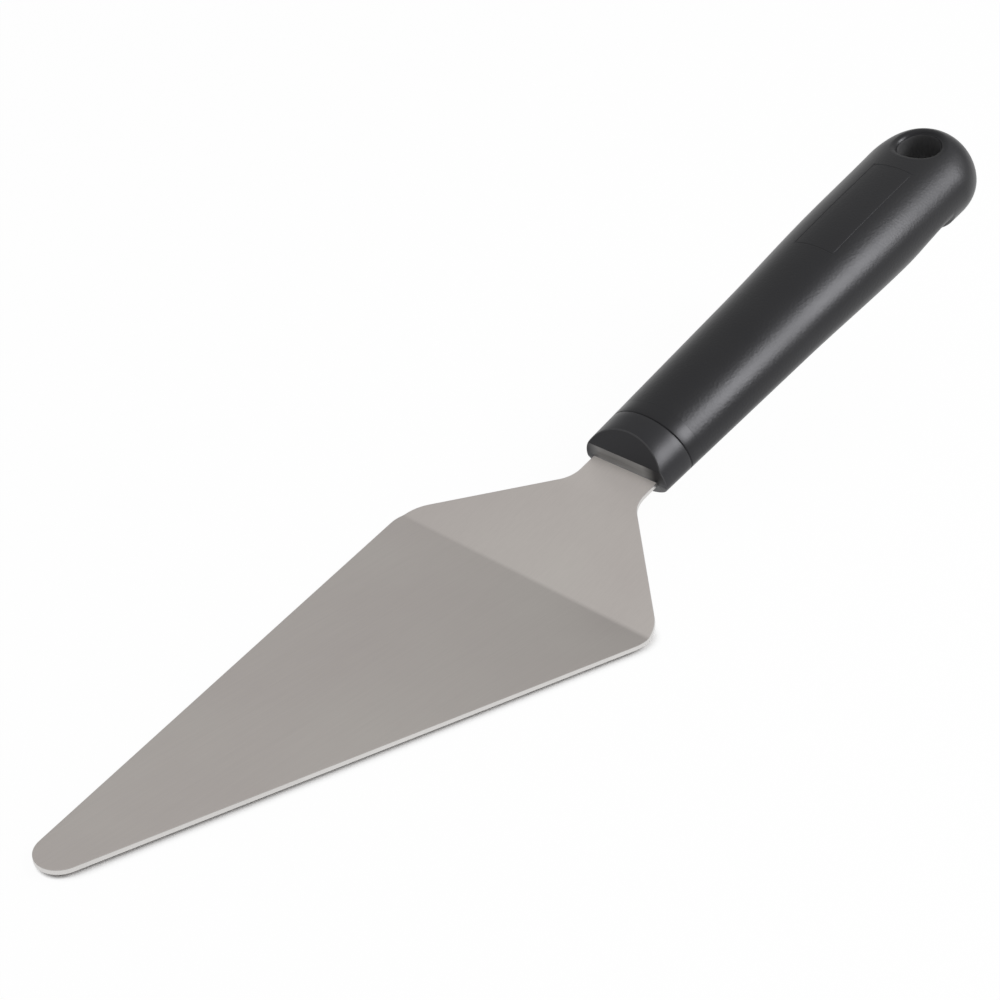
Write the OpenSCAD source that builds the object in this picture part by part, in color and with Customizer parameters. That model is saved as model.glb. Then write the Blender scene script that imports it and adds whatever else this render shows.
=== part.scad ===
// Cake server: a bent stainless blade with a tang, a core moulded round the tang, and a slip-on grip.
// Millimetres, +Z up, +X towards the handle. The origin is the middle of the blade's flat underside.

/* [Blade] */
// Length of the flat blade, from its tip to the heel bend
blade_len = 119; // [90:0.5:150]
// Width across the heel, measured to its sharp corners
heel_w = 71; // [55:0.5:90]
// How far the heel's corners lie behind the bend
heel_set = 1.5; // [0:0.1:4]
// Radius of the tip
tip_r = 5; // [3:0.1:9]
// Radius of the heel's corners
heel_r = 10; // [4:0.5:14]
// Thickness of the sheet
sheet_t = 1; // [0.8:0.1:1.5]
// Inside radius of the heel bend
bend_r = 4; // [2:0.5:8]

/* [Riser] */
// Angle of the riser and the handle above the blade
rise_angle = 17.3; // [10:0.1:30]
// Length of the riser, from the bend to the front of the handle
riser_len = 35.9; // [33:0.1:50]
// Angle at which each edge of the riser runs in to the neck
riser_taper = 45; // [40:1:60]
// Width of the neck
neck_w = 17.5; // [14:0.5:18]
// Radius where the riser runs into the neck
neck_r = 7; // [3:0.5:9]

/* [Tang] */
// Depth to which the full width of the neck runs into the collar
shoulder_len = 5; // [3:0.5:6]
// Width of the tang
tang_w = 9; // [6:0.5:9.5]
// Length of the tang behind its shoulder
tang_len = 48; // [38:1:54]
// Diameter of the lock holes in the tang
lock_hole_d = 4.5; // [3:0.1:5]
// Number of lock holes
lock_hole_count = 2; // [1:1:2]
// Distance from the shoulder to the first lock hole
lock_hole_start = 14; // [10:1:18]
// Distance between lock holes
lock_hole_pitch = 20; // [10:1:20]

/* [Handle] */
// Length of the handle, from its front to its rounded end
handle_len = 129.4; // [115:0.1:150]
// Width of the handle at its front
front_w = 22.2; // [21:0.1:26]
// Height of the handle's front above the middle of the sheet
front_top = 8.8; // [8:0.1:11]
// Depth of the handle's front below the middle of the sheet
front_low = 5.2; // [5:0.1:8]
// Width of the handle where its rounded end begins
rear_w = 28.9; // [24:0.1:32]
// Height of the handle above the middle of the sheet where its rounded end begins
rear_top = 10.6; // [9:0.1:13]
// Depth of the handle below the middle of the sheet where its rounded end begins
rear_low = 9.9; // [8:0.1:12]
// Length of the rounded end, seen from above
end_len = 14.9; // [12:0.1:20]
// Length of the rounding on top of the end
crown_len = 9.9; // [8:0.1:14]
// How far the belly of the handle stands out all round
belly_out = 0.4; // [0:0.1:1.5]
// Distance from the front of the handle to the fullest part of the belly
belly_at = 84; // [60:1:90]
// Length of the belly on each side of its fullest part
belly_len = 32; // [20:1:45]
// Length of the butt behind the step under the handle
butt_len = 19.2; // [18:0.1:24]
// Length of the butt's step
step_len = 1.5; // [1:0.1:4]
// Depth of the finger hollow in front of the step
hollow_depth = 3.2; // [0:0.1:3.5]
// Length over which the hollow comes in
hollow_len = 18; // [10:0.5:20]

/* [Collar] */
// Length of the collar, from the front of the handle to the groove
collar_len = 8.6; // [8:0.1:12]
// Height of the upright band between the sheet and the half-moon facet
band_h = 3.2; // [1:0.1:4]
// Rake of the half-moon facet, back from square
facet_rake = 29.8; // [15:0.1:35]
// Width of the groove between the collar and the grip
groove_w = 0.6; // [0.4:0.1:1]
// Depth of the groove
groove_d = 0.8; // [0.5:0.1:1.2]

/* [Spigot] */
// Width of the spigot
spigot_w = 13; // [12:0.5:14]
// Thickness of the spigot
spigot_t = 8; // [7:0.1:8.5]
// Height of the spigot's middle above the middle of the sheet
spigot_lift = 1.5; // [1:0.1:2]
// Length of the spigot behind the collar
spigot_len = 62; // [58:1:72]
// Radius of the spigot's corners
spigot_r = 2; // [1:0.1:3]
// Radius of the catches on the spigot's sides
catch_r = 2; // [1.5:0.1:3]
// How far each catch stands out
catch_out = 0.6; // [0.3:0.1:0.9]
// Distance from the collar to the catches
catch_at = 50; // [30:1:54]

/* [Hanging hole] */
// Diameter of the hanging hole
hole_d = 10.2; // [6:0.1:12]
// Distance from the hole's centre to the end of the handle
hole_edge = 12.1; // [11.5:0.1:18]
// Radius of the hole's rounded rims
rim_r = 2; // [0.5:0.1:2.5]

/* [Fits] */
// Gap between the spigot and its socket, on each side
socket_gap = 0.15; // [0.05:0.05:0.3]
// Gap that the moulded core leaves round the tang
mould_gap = 0.05; // [0.02:0.01:0.1]

/* [Hidden] */
$fn = 64;
steel_colour = [0.66, 0.64, 0.62];
core_colour = [0.17, 0.17, 0.18];
grip_colour = [0.12, 0.12, 0.13];
// Sides of an oval section, and rings along the body, the step and the butt
oval_sides = 48;
body_rings = 18;
step_rings = 4;
butt_rings = 12;
// The last ring lies this share of a step before the end
last_ring = 0.25;
// Fullness of the rounded end: from above it is an arc, and on top and underneath it is blunter
end_plan_power = 2;
end_top_power = 2.3;
end_low_power = 2.5;
// A margin by which a cut runs past what it cuts
past = 1;
// How far a straight edge laps into the arc that it runs into
lap = 0.004;
// The bend lies half the blade's length from the origin
bend_x = blade_len / 2;
heel_corner = [heel_set, heel_w / 2];
tip_centre = [tip_r - blade_len, 0];
// The blade's edge is the tangent from the heel's corner to the tip's circle
heel_reach = norm(heel_corner - tip_centre);
tip_touch = atan2(heel_corner.y, heel_corner.x - tip_centre.x) + acos(tip_r / heel_reach);
edge_angle = tip_touch - 90;
heel_tangent = heel_r * tan((edge_angle + riser_taper) / 2);
neck_corner = [heel_corner.x + (heel_corner.y - neck_w / 2) / tan(riser_taper), neck_w / 2];
neck_tangent = neck_r * tan(riser_taper / 2);
shoulder_at = riser_len + shoulder_len;
tang_end = shoulder_at + tang_len;
// The handle's own axis runs along X from the front of the handle, in the middle of the sheet
sheet_mid = sheet_t / 2;
end_from = handle_len - end_len;
hole_at = handle_len - hole_edge;
step_to = handle_len - butt_len;
step_from = step_to - step_len;
hollow_from = step_from - hollow_len;

function ray(angle) = [cos(angle), sin(angle)];
function mirrored(points) = [for (i = [len(points) - 1:-1:0]) [points[i].x, -points[i].y]];
function eased(k) = k * k * (3 - 2 * k);
function part_way(a, b, x) = min(max((x - a) / (b - a), 0), 1);

// Half width, height and depth of the handle's section at a distance h from its front
function taper(front, rear, h) = front + (rear - front) * h / end_from;
function rounding(h, length, power) = sqrt(1 - pow(part_way(handle_len - length, handle_len, h), power));
function belly(h) = belly_out * eased(max(1 - abs(h - belly_at) / belly_len, 0));
function hollow(h) =
    hollow_depth * (eased(part_way(hollow_from, step_from, h)) - eased(part_way(step_from, step_to, h)));
function half_w(h) = (taper(front_w, rear_w, h) / 2 + belly(h)) * rounding(h, end_len, end_plan_power);
function top_h(h) = (taper(front_top, rear_top, h) + belly(h)) * rounding(h, crown_len, end_top_power);
function low_h(h) =
    (taper(front_low, rear_low, h) + belly(h) - hollow(h)) * rounding(h, end_len, end_low_power);

// The section as a ring of two half ellipses that meet in the middle of the sheet
function oval(h, inset) = [
    for (i = [0:oval_sides - 1])
        let (a = 360 * i / oval_sides, tall = sin(a) < 0 ? low_h(h) : top_h(h))
        [h, (half_w(h) - inset) * cos(a), (tall - inset) * sin(a)]
];

// A closed skin over a list of rings with equal counts, running towards +X
module loft(rings) {
    n = len(rings[0]);
    last = len(rings) - 1;
    points = [for (ring = rings) each ring];
    sides = [
        for (k = [0:last - 1], i = [0:n - 1])
            let (a = k * n + i, b = k * n + (i + 1) % n)
            each [[a, a + n, b], [b, a + n, b + n]]
    ];
    front = [for (i = [0:n - 1]) i];
    back = [for (i = [n - 1:-1:0]) last * n + i];
    polyhedron(points, concat([front], sides, [back]), convexity = 4);
}

// Frames of the riser plate and of the handle
module at_riser() {
    translate([bend_x, 0, 0])
        rotate([0, -rise_angle, 0])
            children();
}

module at_handle() {
    at_riser()
        translate([riser_len, 0, sheet_mid])
            children();
}

// The shoulder and tang as cut from the sheet, grown by a gap all round
module tang_outline(from, gap) {
    difference() {
        union() {
            translate([from, -neck_w / 2 - gap])
                square([shoulder_at + gap - from, neck_w + 2 * gap]);
            translate([riser_len, -tang_w / 2 - gap])
                square([tang_end - tang_w / 2 - riser_len, tang_w + 2 * gap]);
            translate([tang_end - tang_w / 2, 0])
                circle(tang_w / 2 + gap);
        }
        for (i = [0:lock_hole_count - 1])
            translate([shoulder_at + lock_hole_start + i * lock_hole_pitch, 0])
                circle(lock_hole_d / 2 - gap);
    }
}

// The whole sheet laid flat, with the bend line at x = 0
module blank() {
    heel_centre = heel_corner - heel_tangent * ray(edge_angle) + heel_r * ray(edge_angle - 90);
    neck_from = neck_corner - neck_tangent * ray(-riser_taper);
    neck_to = neck_corner + [neck_tangent, 0];
    edge = [
        tip_centre + (tip_r - lap) * ray(tip_touch),
        heel_centre + (heel_r - lap) * ray(edge_angle + 90),
        heel_centre + (heel_r - lap) * ray(90 - riser_taper),
        neck_from,
        neck_to
    ];
    difference() {
        union() {
            polygon(concat(edge, mirrored(edge)));
            translate(tip_centre)
                circle(tip_r);
            for (side = [-1, 1])
                translate([heel_centre.x, side * heel_centre.y])
                    circle(heel_r);
        }
        for (side = [-1, 1])
            translate([neck_to.x, side * (neck_to.y + neck_r - lap)])
                circle(neck_r);
    }
    tang_outline(neck_corner.x, 0);
}

// The space above one face of the bent sheet, seen from its side, with the bend rounded to a radius
module above_bend(height, r) {
    centre_z = bend_r + sheet_t;
    centre_x = -centre_z * tan(rise_angle / 2);
    tall = tang_end + 2 * past;
    left = -blade_len - past;
    bend_from = [centre_x, centre_z - r];
    bend_to = [centre_x, centre_z] + r * ray(rise_angle - 90);
    right = bend_to + (tang_end + past) * ray(rise_angle);
    polygon([[left, height], bend_from, bend_to, right, [right.x, tall], [left, tall]]);
    translate([centre_x, centre_z])
        circle(r);
}

// The bent sheet, wider than its cut outline
module bent_strip() {
    width = heel_w + 2 * past;
    translate([0, width / 2, 0])
        rotate([90, 0, 0])
            linear_extrude(width)
                difference() {
                    above_bend(0, bend_r + sheet_t);
                    above_bend(sheet_t, bend_r);
                }
}

// One half of the sheet's cut outline, upright on its own face, on one side of the bend
module cut_outline(from, to) {
    tall = bend_r + sheet_t + past;
    translate([0, 0, -past])
        linear_extrude(tall + past)
            intersection() {
                blank();
                translate([from, -heel_w / 2 - past])
                    square([to - from, heel_w + 2 * past]);
            }
}

module blade() {
    reach = tang_end + past;
    color(steel_colour)
        translate([bend_x, 0, 0])
            intersection() {
                bent_strip();
                union() {
                    cut_outline(-blade_len - past, 0);
                    rotate([0, -rise_angle, 0])
                        cut_outline(0, reach);
                }
            }
}

// The spigot, or its socket when grown by a gap
module spigot(from, gap) {
    w = spigot_w + 2 * gap;
    t = spigot_t + 2 * gap;
    r = spigot_r + gap;
    length = collar_len + spigot_len + gap - from;
    translate([from, 0, spigot_lift])
        rotate([90, 0, 90])
            linear_extrude(length) {
                square([w - 2 * r, t], center = true);
                square([w, t - 2 * r], center = true);
                for (y = [-1, 1], z = [-1, 1])
                    translate([y * (w / 2 - r), z * (t / 2 - r)])
                        circle(r);
            }
    for (side = [-1, 1])
        translate([collar_len + catch_at, side * (spigot_w / 2 + catch_out - catch_r), spigot_lift])
            cylinder(r = catch_r + gap, h = t - 2 * r, center = true);
}

// What the raked facet takes off the top of the collar's front
module facet_cut() {
    big = front_w + front_top;
    translate([0, 0, sheet_mid + band_h])
        rotate([0, facet_rake, 0])
            translate([-big, -big, 0])
                cube([big, 2 * big, big]);
}

module handle_core() {
    spigot_root = shoulder_len / 2;
    color(core_colour)
        difference() {
            at_handle()
                union() {
                    difference() {
                        loft([oval(0, 0), oval(collar_len, 0)]);
                        facet_cut();
                    }
                    spigot(spigot_root, 0);
                }
            at_riser()
                translate([0, 0, -mould_gap])
                    linear_extrude(sheet_t + 2 * mould_gap)
                        tang_outline(riser_len - past, mould_gap);
        }
}

// One rounded rim of the hanging hole, flaring up to its crest
module rim_cut(crest) {
    translate([0, 0, crest - rim_r])
        rotate_extrude()
            difference() {
                square([hole_d / 2 + rim_r, rim_r + past]);
                translate([hole_d / 2 + rim_r, 0])
                    circle(rim_r);
            }
}

module hanging_hole() {
    top = top_h(hole_at);
    low = low_h(hole_at);
    translate([hole_at, 0, 0]) {
        translate([0, 0, -low - past])
            cylinder(d = hole_d, h = low + top + 2 * past);
        rim_cut(top);
        mirror([0, 0, 1])
            rim_cut(low);
    }
}

module grip() {
    groove_end = collar_len + groove_w;
    body_at = [for (i = [0:body_rings - 1]) groove_end + (step_from - groove_end) * i / body_rings];
    step_at = [for (i = [0:step_rings - 1]) step_from + step_len * i / step_rings];
    butt_at = [for (i = [0:butt_rings - 1]) step_to + butt_len * sin(90 * i / butt_rings)];
    tip_at = step_to + butt_len * sin(90 * (1 - last_ring / butt_rings));
    stations = concat(body_at, step_at, butt_at, [tip_at]);
    color(grip_colour)
        at_handle()
            difference() {
                loft(concat(
                    [oval(collar_len, groove_d), oval(groove_end, groove_d)],
                    [for (h = stations) oval(h, 0)]
                ));
                spigot(collar_len - past, socket_gap);
                hanging_hole();
            }
}

blade();
handle_core();
grip();
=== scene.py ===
"""Dresses the cake server: a bent satin steel blade, a moulded collar core and a slip-on grip.

Sizes are in metres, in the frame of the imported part: +Z up, +X towards the handle.
"""

import logging
import math
from abc import ABC, abstractmethod
from collections.abc import Iterable, Sequence
from dataclasses import dataclass, field, replace
from enum import Enum, IntEnum

import bmesh
import bpy
from mathutils import Matrix, Vector


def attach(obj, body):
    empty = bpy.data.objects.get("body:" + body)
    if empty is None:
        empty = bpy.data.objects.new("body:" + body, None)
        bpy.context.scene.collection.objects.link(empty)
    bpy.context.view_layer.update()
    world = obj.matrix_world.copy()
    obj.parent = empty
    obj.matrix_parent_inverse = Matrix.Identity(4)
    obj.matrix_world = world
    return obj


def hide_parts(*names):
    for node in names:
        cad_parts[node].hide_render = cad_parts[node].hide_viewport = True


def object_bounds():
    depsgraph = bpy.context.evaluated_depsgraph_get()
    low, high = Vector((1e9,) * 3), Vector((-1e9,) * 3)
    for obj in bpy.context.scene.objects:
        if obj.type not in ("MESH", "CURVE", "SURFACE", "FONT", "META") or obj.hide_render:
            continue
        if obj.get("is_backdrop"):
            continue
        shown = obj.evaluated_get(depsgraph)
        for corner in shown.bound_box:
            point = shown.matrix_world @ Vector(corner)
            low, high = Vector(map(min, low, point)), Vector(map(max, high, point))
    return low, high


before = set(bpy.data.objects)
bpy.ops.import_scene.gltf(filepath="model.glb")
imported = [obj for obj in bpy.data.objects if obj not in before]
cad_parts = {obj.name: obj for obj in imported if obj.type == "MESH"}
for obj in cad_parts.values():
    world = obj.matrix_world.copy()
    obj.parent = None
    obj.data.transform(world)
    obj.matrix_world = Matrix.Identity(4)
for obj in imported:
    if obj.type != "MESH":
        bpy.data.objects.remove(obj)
cad_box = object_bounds()

LOG = logging.getLogger("cake_server")
Colour = tuple[float, float, float, float]
Triple = tuple[float, float, float]
Pair = tuple[float, float]
Ring = list[bmesh.types.BMVert]
Socket = bpy.types.NodeSocket
WHITE: Colour = (1.0, 1.0, 1.0, 1.0)
COOL_GLOSS: Colour = (0.95, 0.95, 1.0, 1.0)
FORWARD, SIDEWAYS, UPWARD = Vector((1, 0, 0)), Vector((0, 1, 0)), Vector((0, 0, 1))
SHARP_ANGLE = math.radians(38)
CUT_SLACK = 1e-7
FLAT_SLACK = 1e-9


class Slot(Enum):
    """Material slots of the part's record."""

    STEEL = "steel"
    CORE = "core_plastic"
    GRIP = "grip_plastic"


class Look(IntEnum):
    """Which of its piece's finishes a face takes; the second is an edge's or a bore's."""

    MAIN = 0
    EDGE = 1
    BORE = 1
    BAND = 2


class Half(Enum):
    """The two halves of the handle's section, above and below the middle of the sheet."""

    TOP = 1
    LOW = -1

    @classmethod
    def at(cls, height: float) -> "Half":
        """The half that a height lies in."""
        return cls.TOP if height >= 0 else cls.LOW


def eased(share: float) -> float:
    """A smooth step from 0 to 1."""
    return share * share * (3 - 2 * share)


def part_way(start: float, end: float, value: float) -> float:
    """How far a value lies from start to end, held between 0 and 1."""
    return min(max((value - start) / (end - start), 0.0), 1.0)


def ray(angle: float) -> Vector:
    """The flat unit vector at an angle."""
    return Vector((math.cos(angle), math.sin(angle)))


def spread(start: float, end: float, steps: int) -> list[float]:
    """Evenly spaced values from start up to, but without, end."""
    return [start + (end - start) * i / steps for i in range(steps)]


def between(turns: Sequence[float], counts: Sequence[int]) -> list[float]:
    """Evenly spaced values from each turn up to the next, with a count for each stretch."""
    return [a for i, n in enumerate(counts) for a in spread(turns[i], turns[i + 1], n)]


def quarter(steps: int) -> list[float]:
    """The angles of a quarter turn, with both ends."""
    return [math.pi / 2 * i / steps for i in range(steps + 1)]


def rolled(radius: float, steps: int) -> list[Pair]:
    """A quarter-round edge from the face to the side, as pairs of the inset and the depth."""
    return [(radius * (1 - math.sin(t)), radius * (1 - math.cos(t))) for t in quarter(steps)]


def arc(centre: Vector, radius: float, start: float, end: float, steps: int) -> list[Vector]:
    """Points along a flat arc from one angle to another, with both ends."""
    return [centre + radius * ray(a) for a in spread(start, end, steps) + [end]]


def rounded_rectangle(width: float, height: float, radius: float, lift: float) -> list[Vector]:
    """A rectangle with rounded corners, round a middle that is lifted.

    Args:
        width: Full width.
        height: Full height.
        radius: Radius of the corners.
        lift: Height of its middle.

    Returns:
        The flat outline, turning to the left.
    """
    corner_steps = 6
    points = []
    for turn, (x, y) in enumerate(((1, 1), (-1, 1), (-1, -1), (1, -1))):
        centre = Vector((x * (width / 2 - radius), y * (height / 2 - radius) + lift))
        points += arc(centre, radius, turn * math.pi / 2, (turn + 1) * math.pi / 2, corner_steps)
    return points


class Shell:
    """Collects the rings and faces of one closed piece."""

    def __init__(self) -> None:
        """Starts an empty mesh, with room for the true normals of some of its corners."""
        self.mesh = bmesh.new()
        self.truth = self.mesh.verts.layers.float_vector.new("truth")

    def ring(self, points: Iterable[Vector]) -> Ring:
        """Adds points as the corners of a ring."""
        return [self.mesh.verts.new(p) for p in points]

    def edges_of(self, ring: Ring) -> list[bmesh.types.BMEdge]:
        """The edges round a ring, made where they are missing."""
        pairs = zip(ring, ring[1:] + ring[:1])
        return [self.mesh.edges.get(p) or self.mesh.edges.new(p) for p in pairs]

    def loft(self, rings: Sequence[Ring], look: Look = Look.MAIN) -> None:
        """Skins rings of equal counts, one after the other.

        Args:
            rings: The rings, in order.
            look: The finish that the faces take.
        """
        for near, far in zip(rings, rings[1:]):
            for i in range(len(near)):
                j = (i + 1) % len(near)
                face = self.mesh.faces.new((near[i], near[j], far[j], far[i]))
                face.material_index = look

    def fill(self, edges: list[bmesh.types.BMEdge], facing: Vector) -> list[bmesh.types.BMFace]:
        """Fills between closed loops of edges, seen flat; a loop inside another is a hole."""
        made = bmesh.ops.triangle_fill(self.mesh, use_beauty=True, edges=edges, normal=facing)
        return [g for g in made["geom"] if isinstance(g, bmesh.types.BMFace)]

    def fill_rings(self, rings: Sequence[Ring], facing: Vector) -> list[bmesh.types.BMFace]:
        """Fills between rings; a ring inside another is a hole."""
        return self.fill([e for ring in rings for e in self.edges_of(ring)], facing)

    def sleeve(self, outline: Sequence[Vector], start: float, length: float) -> Ring:
        """Adds a straight tube along +X that is closed at its far end.

        Args:
            outline: Its section, across and up.
            start: Where it begins.
            length: How far it runs.

        Returns:
            The open ring at its start.
        """
        ends = (start, start + length)
        near, far = (self.ring(Vector((x, p.x, p.y)) for p in outline) for x in ends)
        self.loft([near, far])
        self.fill_rings([far], FORWARD)
        return near

    def crown(self, ring: Ring, point: Vector) -> list[bmesh.types.BMFace]:
        """Closes a ring with a fan to one point."""
        pole = self.mesh.verts.new(point)
        return [self.mesh.faces.new((a, b, pole)) for a, b in zip(ring, ring[1:] + ring[:1])]

    def cut(self, parts: Iterable, spot: Vector, facing: Vector) -> None:
        """Cuts faces, edges and corners along a plane."""
        parts = list(parts)
        bmesh.ops.bisect_plane(self.mesh, geom=parts, plane_co=spot, plane_no=facing, dist=CUT_SLACK)

    def piece(self, name: str) -> bpy.types.Object:
        """Turns the collected mesh into a shaded object.

        Args:
            name: Name of the piece.

        Returns:
            The object, in the scene.
        """
        bmesh.ops.recalc_face_normals(self.mesh, faces=self.mesh.faces)
        for face in self.mesh.faces:
            face.smooth = True
        normals = [tuple(v[self.truth]) for v in self.mesh.verts]
        self.mesh.verts.layers.float_vector.remove(self.truth)
        mesh = bpy.data.meshes.new(name)
        self.mesh.to_mesh(mesh)
        self.mesh.free()
        mesh.set_sharp_from_angle(angle=SHARP_ANGLE)
        if any(any(n) for n in normals):
            mesh.normals_split_custom_set_from_vertices(normals)
        made = bpy.data.objects.new(name, mesh)
        bpy.context.scene.collection.objects.link(made)
        return made


class Wiring:
    """Adds nodes to a node tree and links them."""

    def __init__(self, tree: bpy.types.NodeTree) -> None:
        """Keeps the tree that the nodes go into."""
        self.tree = tree

    def add(self, kind: str, inputs: dict | None = None, **settings: object) -> bpy.types.Node:
        """Adds one node.

        Args:
            kind: Blender's name for the node.
            inputs: Sockets by name or index, each with a value or with the output that feeds it.
            settings: Other settings of the node.

        Returns:
            The node.
        """
        node = self.tree.nodes.new(kind)
        for key, value in settings.items():
            setattr(node, key, value)
        for key, value in (inputs or {}).items():
            if isinstance(value, Socket):
                self.tree.links.new(value, node.inputs[key])
            else:
                node.inputs[key].default_value = value
        return node

    def group(self, tree: bpy.types.NodeTree, **inputs: object) -> Socket:
        """Places a node group and gives its one output."""
        return self.add("ShaderNodeGroup", inputs, node_tree=tree).outputs[0]

    def math(self, operation: str, a: object, b: object) -> Socket:
        """One sum of two values."""
        return self.add("ShaderNodeMath", {0: a, 1: b}, operation=operation).outputs[0]

    def span(self, value: object, low: float, high: float, ends: Sequence[float] = (0.0, 1.0)) -> Socket:
        """Maps a value from 0 to 1, or between other ends, to low to high."""
        inputs = {"Value": value, "To Min": low, "To Max": high, "From Min": ends[0], "From Max": ends[1]}
        return self.add("ShaderNodeMapRange", inputs).outputs[0]

    def blend(self, share: object, a: object, b: object) -> Socket:
        """Mixes two colours."""
        return self.add("ShaderNodeMix", {0: share, 6: a, 7: b}, data_type="RGBA").outputs[2]

    def drawn(self, place: Socket, scale: Triple) -> Socket:
        """A place that is drawn out along some of its axes."""
        return self.add("ShaderNodeMapping", {"Vector": place, "Scale": scale}).outputs[0]


class Effects:
    """Surface effects that several finishes share, each one node group."""

    def __init__(self) -> None:
        """Builds the groups once."""
        self.mottle = self._mottle()
        self.grain = self._grain()

    @staticmethod
    def _start(name: str, numbers: dict[str, float], result: str) -> tuple[Wiring, bpy.types.Node]:
        """Starts a group that takes a place and some numbers.

        Args:
            name: Name of the group.
            numbers: Its number inputs and their usual values.
            result: Name of its output.

        Returns:
            The wiring of the group and its input node.
        """
        tree = bpy.data.node_groups.new(name, "ShaderNodeTree")
        tree.interface.new_socket("Place", in_out="INPUT", socket_type="NodeSocketVector")
        for label, usual in numbers.items():
            socket = tree.interface.new_socket(label, in_out="INPUT", socket_type="NodeSocketFloat")
            socket.default_value = usual
        tree.interface.new_socket(result, in_out="OUTPUT", socket_type="NodeSocketFloat")
        wiring = Wiring(tree)
        return wiring, wiring.add("NodeGroupInput")

    def _mottle(self) -> bpy.types.NodeTree:
        """Broad soft clouds, as handling and rolling leave them.

        Returns:
            The group, whose contrast works round the middle of the clouds.
        """
        middle = 0.5
        wiring, given = self._start("soft_mottle", {"Scale": 20.0, "Contrast": 1.0}, "Mask")
        place, scale = given.outputs["Place"], given.outputs["Scale"]
        clouds = wiring.add("ShaderNodeTexNoise", {"Vector": place, "Scale": scale, "Detail": 4.0})
        centred = wiring.math("SUBTRACT", clouds.outputs[0], middle)
        raised = wiring.math("MULTIPLY", centred, given.outputs["Contrast"])
        shifted = wiring.add("ShaderNodeMath", {0: raised, 1: middle}, operation="ADD", use_clamp=True)
        wiring.add("NodeGroupOutput", {0: shifted.outputs[0]})
        return wiring.tree

    def _grain(self) -> bpy.types.NodeTree:
        """Fine relief: drawn out along one axis it is brushing, and even it is moulded grain.

        Returns:
            The group.
        """
        wiring, given = self._start("fine_grain", {"Scale": 3000.0, "Cells": 0.5}, "Height")
        place, scale = given.outputs["Place"], given.outputs["Scale"]
        noise = wiring.add("ShaderNodeTexNoise", {"Vector": place, "Scale": scale, "Detail": 2.0}).outputs[0]
        cells = wiring.add("ShaderNodeTexVoronoi", {"Vector": place, "Scale": scale}).outputs["Distance"]
        inputs = {0: given.outputs["Cells"], 2: noise, 3: cells}
        mixed = wiring.add("ShaderNodeMix", inputs, data_type="FLOAT").outputs[0]
        wiring.add("NodeGroupOutput", {0: mixed})
        return wiring.tree


def new_material(name: str) -> tuple[bpy.types.Material, Wiring, bpy.types.Node]:
    """Starts a material with an empty tree.

    Args:
        name: Name of the material.

    Returns:
        The material, the wiring of its tree and its output node.
    """
    material = bpy.data.materials.new(name)
    material.use_nodes = True
    material.node_tree.nodes.clear()
    wiring = Wiring(material.node_tree)
    return material, wiring, wiring.add("ShaderNodeOutputMaterial")


@dataclass(frozen=True)
class Rise:
    """Where the bend, the riser and the handle lie."""

    bend_x: float = 0.0595
    angle: float = math.radians(17.3)
    riser_len: float = 0.0359
    sheet_mid: float = 0.0005

    def riser(self) -> Matrix:
        """The riser plate's frame, from the bend line."""
        return Matrix.Translation((self.bend_x, 0, 0)) @ Matrix.Rotation(-self.angle, 4, "Y")

    def handle(self) -> Matrix:
        """The handle's frame: its axis runs from the front face in the middle of the sheet."""
        return self.riser() @ Matrix.Translation((self.riser_len, 0, self.sheet_mid))


@dataclass(frozen=True)
class Canvas:
    """A material in the making: its wiring, the shared groups, the place on the surface and the mottle."""

    wiring: Wiring
    effects: Effects
    place: Socket
    clouds: Socket


@dataclass(frozen=True, kw_only=True)
class Finish(ABC):
    """What all finishes share: two tones that a soft mottle mixes."""

    name: str
    light: Colour
    dark: Colour
    rise: Rise
    roughness: float
    rough_drift: float = 0.03
    cloud_scale: float
    cloud_contrast: float

    @abstractmethod
    def sockets(self, on: Canvas) -> dict[str, object]:
        """What the shader takes, by the names of its sockets."""

    def tone(self, on: Canvas) -> Socket:
        """The colour over the surface."""
        return on.wiring.blend(on.clouds, self.dark, self.light)

    def material(self, effects: Effects) -> bpy.types.Material:
        """Builds the material.

        Args:
            effects: The shared node groups.

        Returns:
            The material.
        """
        material, wiring, out = new_material(self.name)
        place = wiring.add("ShaderNodeTexCoord").outputs["Object"]
        numbers = {"Scale": self.cloud_scale, "Contrast": self.cloud_contrast}
        clouds = wiring.group(effects.mottle, Place=place, **numbers)
        inputs = self.sockets(Canvas(wiring, effects, place, clouds))
        shader = wiring.add("ShaderNodeBsdfPrincipled", inputs)
        wiring.tree.links.new(shader.outputs[0], out.inputs[0])
        return material


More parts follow.
